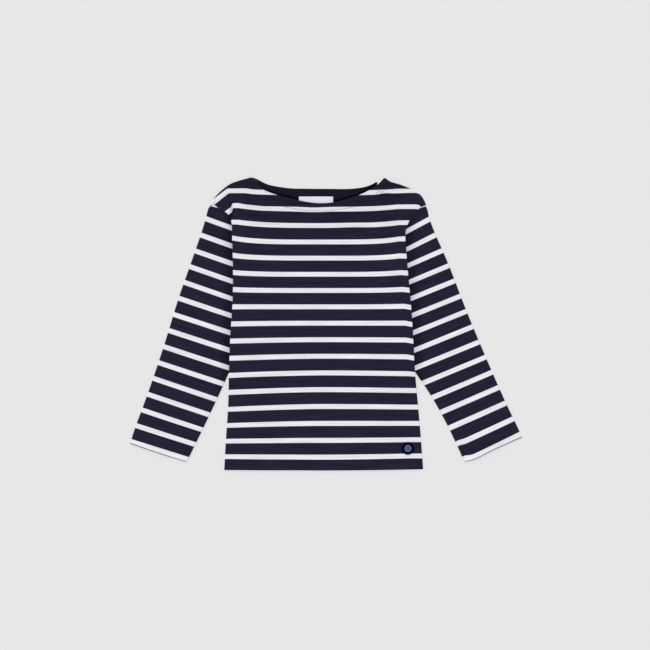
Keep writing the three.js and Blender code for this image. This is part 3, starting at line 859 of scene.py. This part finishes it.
def striped_jersey():
    """Heavy cotton jersey, knitted in navy and white: matt and soft, with fine chains of stitches.

    A little sheen stands for its fuzz. The real stitches are about 1.1 mm wide. They are drawn
    WALE wide so that they show, with 20 courses to each repeat of the stripes.
    """
    made, tree, shader = new_material("striped_cotton_jersey", {
        "Roughness": 0.9, "Sheen Weight": 0.07, "Sheen Roughness": 0.5, "Specular IOR Level": 0.12})
    cloth = add(tree, "Attribute", attribute_name="cloth")
    axes = add(tree, "SeparateXYZ", {0: cloth.outputs["Vector"]})
    across, along_it, edge = axes.outputs

    # Stitch chains: two slanting legs in each wale, one row of them for each course
    wales = add(tree, "Math", {0: across, 1: WALE * MM}, operation="DIVIDE")
    leg_place = add(tree, "Math", {0: wales, 1: 0.5}, operation="PINGPONG")
    leg_turn = add(tree, "Math", {0: leg_place, 1: math.tau}, operation="MULTIPLY")
    leg = add(tree, "Math", {0: leg_turn}, operation="SINE")
    courses = add(tree, "Math", {0: along_it, 1: COURSE * MM}, operation="DIVIDE")
    slant = add(tree, "Math", {0: leg_place, 1: LEG_SLANT, 2: courses}, operation="MULTIPLY_ADD")
    row_turn = add(tree, "Math", {0: slant, 1: math.tau}, operation="MULTIPLY")
    row_wave = add(tree, "Math", {0: row_turn}, operation="SINE")
    row_height = add(tree, "Math", {0: row_wave, 1: 0.25, 2: 0.75}, operation="MULTIPLY_ADD")
    stitch = add(tree, "Math", {0: leg, 1: row_height}, operation="MULTIPLY")

    # Stripes, with their edges stepped a little at each leg
    stepped = add(tree, "Math", {0: leg_place, 1: LEG_STEP * MM, 2: along_it}, operation="MULTIPLY_ADD")
    repeats = add(tree, "Math", {0: stepped, 1: STRIPE * MM}, operation="DIVIDE")
    from_white = add(tree, "Math", {0: repeats, 1: 0.5}, operation="PINGPONG")
    white = add(tree, "MapRange", {"Value": from_white, "To Min": 1.0, "To Max": 0.0,
                                   "From Min": WHITE_SHARE / 2 - STRIPE_SOFTNESS,
                                   "From Max": WHITE_SHARE / 2 + STRIPE_SOFTNESS})

    # Uneven yarn: long faint streaks along the courses
    streak_place = add(tree, "VectorMath", {0: cloth.outputs["Vector"], 1: STREAKS},
                       operation="MULTIPLY")
    streaks = add(tree, "TexNoise", {"Vector": streak_place, "Scale": 1.0, "Detail": 3.0,
                                     "Roughness": 0.6})
    streak = add(tree, "MapRange", {"Value": streaks.outputs["Fac"], "From Min": 0.32, "From Max": 0.68})
    navy = add(tree, "Mix", {"Factor": streak, "A": linear("#16122A"), "B": linear("#272339")},
               data_type="RGBA")
    ivory = add(tree, "Mix", {"Factor": streak, "A": linear("#E0DFE9"), "B": linear("#FBFAFD")},
                data_type="RGBA")
    yarn = add(tree, "Mix", {"Factor": white, "A": navy, "B": ivory}, data_type="RGBA")

    # The navy turning shows as a thin line at a trimmed edge
    at_edge = add(tree, "MapRange", {"Value": edge, "From Min": TRIMMED[0] * MM,
                                     "From Max": TRIMMED[1] * MM, "To Min": 1.0, "To Max": 0.0})
    edged = add(tree, "Mix", {"Factor": at_edge, "A": yarn, "B": linear("#2A283C")},
                data_type="RGBA")

    # Painted shade: the valleys between the stitches are darker, and the painted shade of the hollows
    # darkens navy more than white
    shade = add(tree, "MapRange", {"Value": stitch, "From Max": 0.8, "To Min": 0.8, "To Max": 1.04})
    shaded = add(tree, "Mix", {"Factor": 1.0, "A": edged, "B": shade}, data_type="RGBA",
                 blend_type="MULTIPLY")
    depth = add(tree, "MapRange", {"Value": white, "To Min": 4.0, "To Max": 1.0})
    surface(tree, shader, in_hollows(tree, shaded, depth), stitch, 0.5, KNIT_DEPTH)
    return made


def woven(name, dark, light, roughness, pitch, gloss=0.12, hollows=False):
    """Plain weave or twisted thread: painted light on the crowns and painted shade in the gaps,
    pitch millimetres apart.

    Real threads lie about half as far apart. They are drawn coarser so that they show.
    """
    made, tree, shader = new_material(name, {"Roughness": roughness, "Specular IOR Level": gloss})
    place = add(tree, "TexCoord")
    across, down = (add(tree, "TexWave", {"Vector": place.outputs["Object"], "Distortion": 0.4,
                                          "Scale": WAVE_REPEAT / (pitch * MM), "Detail": 1.0},
                        bands_direction=axis) for axis in "XY")
    weave = add(tree, "Math", {0: across.outputs["Fac"], 1: down.outputs["Fac"]}, operation="MULTIPLY")
    # Painted light on the thread crowns, painted shade in the gaps between them
    tone = add(tree, "Mix", {"Factor": weave, "A": linear(dark), "B": linear(light)},
               data_type="RGBA")
    # With hollows, the painted shade of the hollows darkens the colour as well
    surface(tree, shader, in_hollows(tree, tone) if hollows else tone, weave, 0.4, WEAVE_DEPTH)
    return made


def enamel(name, dark, light):
    """Moulded enamel: even colour, with soft dents about 2.5 mm across and hardly any glare."""
    made, tree, shader = new_material(name, {"Roughness": 0.5, "Specular IOR Level": 0.03})
    place = add(tree, "TexCoord")
    dents = add(tree, "TexNoise", {"Vector": place.outputs["Object"], "Scale": 400.0})
    tone = add(tree, "Mix", {"Factor": dents.outputs["Fac"], "A": linear(dark), "B": linear(light)},
               data_type="RGBA")
    surface(tree, shader, tone, dents.outputs["Fac"], 0.15, WEAVE_DEPTH)
    return made


# Small sewn pieces

def thinned(sizes, from_edge):
    """How much lower a tape or label lies near its edges."""
    drop, width = sizes["edge"]
    return drop * (1 - ease(0, width, from_edge))


def neck_tape_mesh():
    neck = edge_of(BACK_NECK[:TAPE["neck_rows"]] + TAPE["corner"])

    def place(column, row):
        start = neck(mix(*TAPE["ends"], column))
        drop = mix(TAPE["depth"], TAPE["inset"], row)
        p = np.column_stack([start[:, 0] * (1 - drop / TAPE["taper"]), start[:, 1] - drop])
        from_edge = np.minimum(row, 1 - row) * (TAPE["depth"] - TAPE["inset"])
        z = BACK_EDGE + SEAM_GAP + TAPE["thick"] - thinned(TAPE, from_edge)
        return p, z, (*p.T, NO_EDGE), neck_hollow(p)

    return grid_mesh("neck_tape_cloth", GRID["tape"], place, wall=TAPE["wall"])


def label_mesh():
    low = BACK_EDGE + SEAM_GAP + TAPE["thick"] + SEAM_GAP
    seam = LABEL["seam"]

    def place(column, row):
        x = LABEL["x"] + (column - 0.5) * LABEL["width"]
        y = LABEL["top"] - (1 - row) * LABEL["depth"]
        from_end = np.minimum(column, 1 - column) * LABEL["width"]
        from_edge = np.minimum(from_end, np.minimum(row, 1 - row) * LABEL["depth"])
        sewn = seam["depth"] * np.exp(-((from_end - seam["inset"]) / seam["width"]) ** 2)
        z = low + LABEL["thick"] - thinned(LABEL, from_edge) - sewn
        return np.column_stack([x, y]), z, (x, y, NO_EDGE), np.ones_like(z)

    return grid_mesh("label_cloth", GRID["label"], place, wall=LABEL["wall"])


def badge_meshes():
    """The badge's body, ring and dot, each a profile of (radius, height) turned about its axis."""
    radius, thick, rim, foot = (BADGE[key] for key in ("radius", "thick", "rim", "foot"))
    face = thick - BADGE["recess"]
    top = face + BADGE["proud"]
    inner, outer = BADGE["ring"]
    bevel, dot_radius = BADGE["ring_bevel"], BADGE["dot"]
    profiles = {
        "badge_body": [(0, 0), (radius - foot, 0), (radius, foot), (radius, thick * 0.6),
                       (radius - 0.25, thick - 0.15), (radius - 0.75, thick),
                       (radius - rim, thick - 0.1), (radius - rim - 0.35, face), (0, face)],
        "badge_ring": [(inner, face), (inner, top - 0.12), (inner + bevel, top),
                       (outer - bevel, top), (outer, top - 0.12), (outer, face)],
        "badge_dot": [(0, top), (dot_radius - 0.4, top - 0.04), (dot_radius, top - 0.22),
                      (dot_radius, face)],
    }
    base = front_top(np.array([[BADGE["x"], BADGE["y"]]]))[0] + SEAM_GAP
    meshes = []
    for name, profile in profiles.items():
        bm = bmesh.new()
        verts = [bm.verts.new((r * MM, 0, z * MM)) for r, z in profile]
        edges = [bm.edges.new(pair) for pair in zip(verts, verts[1:])]
        bmesh.ops.spin(bm, geom=verts + edges, cent=(0, 0, 0), axis=(0, 0, 1), steps=BADGE["steps"],
                       angle=math.tau, use_merge=True)
        bmesh.ops.remove_doubles(bm, verts=bm.verts[:], dist=WELD)
        bmesh.ops.translate(bm, verts=bm.verts[:],
                            vec=(BADGE["x"] * MM, BADGE["y"] * MM, base * MM))
        bmesh.ops.recalc_face_normals(bm, faces=bm.faces[:])
        mesh = mesh_of(bm, name)
        mesh.set_sharp_from_angle(angle=math.radians(SHARP_BADGE))
        meshes.append(mesh)
    return meshes


# Sewing

def stitched(name, paths, length, gap, radius):
    """One mesh of short thread stitches along paths of (x, y, z) in millimetres."""
    bm = bmesh.new()
    size = (length / 2 * MM, radius * THREAD_FLATNESS * MM, radius * MM)
    for path in paths:
        lengths = lengths_along(path)
        for k in range(int(lengths[-1] // (length + gap))):
            middle = (k + 0.5) * (length + gap)
            start, end = read_off(path, lengths, np.array([middle - length / 2, middle + length / 2]))
            angle = math.atan2(end[1] - start[1], end[0] - start[0])
            made = bmesh.ops.create_uvsphere(bm, u_segments=8, v_segments=6, radius=1.0)["verts"]
            bmesh.ops.scale(bm, verts=made, vec=size)
            bmesh.ops.rotate(bm, verts=made, cent=(0, 0, 0), matrix=Matrix.Rotation(angle, 3, "Z"))
            bmesh.ops.translate(bm, verts=made, vec=(start + end) / 2 * MM)
    return mesh_of(bm, name)


def on_front(p):
    """Points for a thread on the front's outer face."""
    return np.column_stack([p, front_height(p) + THREAD_PROUD])


def under(p):
    """Points for a thread on the underside, where it meets the surface that the shirt lies on."""
    return np.column_stack([p, np.full(len(p), THREAD_UNDER)])


def sew(thread):
    """Topstitching along the neck, the hem and the cuffs, and the tacks at the neck's corners."""
    start, end = NECK_ROW["ends"]
    neck_row = offset_line(FRONT_NECK_LINE, neck_seam_depth(FRONT_NECK_LINE[:, 0]))
    neck_row = neck_row[(neck_row[:, 0] > start) & (neck_row[:, 0] < end)]
    piece("neck_stitches", stitched("neck_thread", [on_front(neck_row)], **NECK_STITCH), thread)

    hem_x = np.linspace(*HEM_ROW, ROW_POINTS["hem"])
    hem_row = np.column_stack([hem_x, np.full_like(hem_x, HEM[0][1] + HEM_DEPTH - STITCH_INSET)])
    piece("hem_stitches", stitched("hem_thread", [on_front(hem_row), under(hem_row)], **HEM_STITCH),
          thread)

    cuff_rows = []
    for side in "rl":
        share = np.linspace(*CUFF_ROW, ROW_POINTS["cuff"])
        s = np.full_like(share, (CUFF_DEPTH - STITCH_INSET) / SLEEVE_LENGTH)
        p, z = sleeve_points(side, share, s, 0 * s, s > 0)
        cuff_rows += [np.column_stack([p, z + THREAD_PROUD]), under(p)]
    piece("cuff_stitches", stitched("cuff_thread", cuff_rows, **HEM_STITCH), thread)

    tacks = [on_front(curve_through(rows, ROW_POINTS["tack"])) for rows in NECK_TACKS]
    piece("neck_tacks", stitched("tack_thread", tacks, **TACK_STITCH), thread)


def main():
    jersey = striped_jersey()
    # Cotton tape: matt, a shade darker than the jersey. Satin: smooth and brighter, with a soft
    # gloss. Polyester thread: a little lighter and smoother than the jersey it is sewn into.
    tape_cloth = woven("navy_cotton_tape", "#161522", "#222032", 0.9, 0.9, gloss=0.03, hollows=True)
    satin = woven("white_woven_satin", "#DADCE6", "#F4F5FA", 0.5, 0.7)
    thread = woven("navy_polyester_thread", "#232136", "#34324A", 0.6, 0.5)
    blue = enamel("dark_blue_enamel", "#010322", "#03062C")
    pale = enamel("pale_blue_enamel", "#66748F", "#7C8AA6")

    back_cloth = body_panel("back_cloth", BACK_NECK, back_height, -1, BACK_NECK_FOLD,
                            BACK_NECK_DEPTH, GRID["back"])
    front_cloth = body_panel("front_cloth", FRONT_NECK, front_height, 1, FOLD, NECK_DEPTH,
                             GRID["front"])
    back = piece("shirt_back", back_cloth, jersey, "back")
    front = piece("shirt_front", front_cloth, jersey, "front")
    for side, name in (("r", "sleeve_right"), ("l", "sleeve_left")):
        piece("shirt_" + name, sleeve_mesh(name + "_cloth", side), jersey,
                              name)
    tape = piece("shirt_neck_tape", neck_tape_mesh(), tape_cloth, "neck_tape")
    label = piece("shirt_label", label_mesh(), satin, "neck_label")
    badge, ring, dot = badge_meshes()
    piece("shirt_badge", badge, blue, "badge")
    piece("shirt_badge_ring", ring, pale)
    piece("shirt_badge_dot", dot, pale)
    sew(thread)

    stage()
    camera()


def stage():
    """A pale light table, an even white dome and one soft key light."""
    bm = bmesh.new()
    bmesh.ops.create_grid(bm, x_segments=2, y_segments=2, size=FLOOR["half"] * MM)
    bmesh.ops.translate(bm, verts=bm.verts[:], vec=(0, 0, -FLOOR["below"] * MM))
    floor = put("floor", mesh_of(bm, "floor"))
    # Frosted acrylic lit from below: an even pale grey without gloss
    acrylic = new_material("backlit_acrylic", {
        "Roughness": 0.9, "Specular IOR Level": 0.2, "Base Color": linear("#747474"),
        "Emission Color": linear("#FFFFFF"), "Emission Strength": FLOOR["glow"]})[0]
    floor.data.materials.append(acrylic)

    bpy.context.scene.view_settings.view_transform = "Standard"
    world = bpy.data.worlds.new("studio")
    bpy.context.scene.world = world
    world.use_nodes = True
    sky = world.node_tree.nodes["Background"]
    sky.inputs["Color"].default_value = (1, 1, 1, 1)
    sky.inputs["Strength"].default_value = SKY_STRENGTH
    lamp = bpy.data.lights.new("key", "SUN")
    lamp.energy = KEY_STRENGTH
    lamp.angle = math.radians(KEY_SPREAD)
    put("key", lamp).rotation_euler = (math.radians(-KEY_TILT), 0, math.radians(KEY_TURN))


def camera():
    lens = bpy.data.cameras.new("camera")
    lens.sensor_width = CAMERA["sensor"]
    lens.lens = CAMERA["sensor"] * CAMERA["height"] / (PHOTO_SIDE * PIXEL)
    lens.clip_end = CAMERA["far"]
    made = put("camera", lens)
    made.location = (CAMERA["x"] * MM, CAMERA["y"] * MM, CAMERA["height"] * MM)
    bpy.context.scene.camera = made


main()
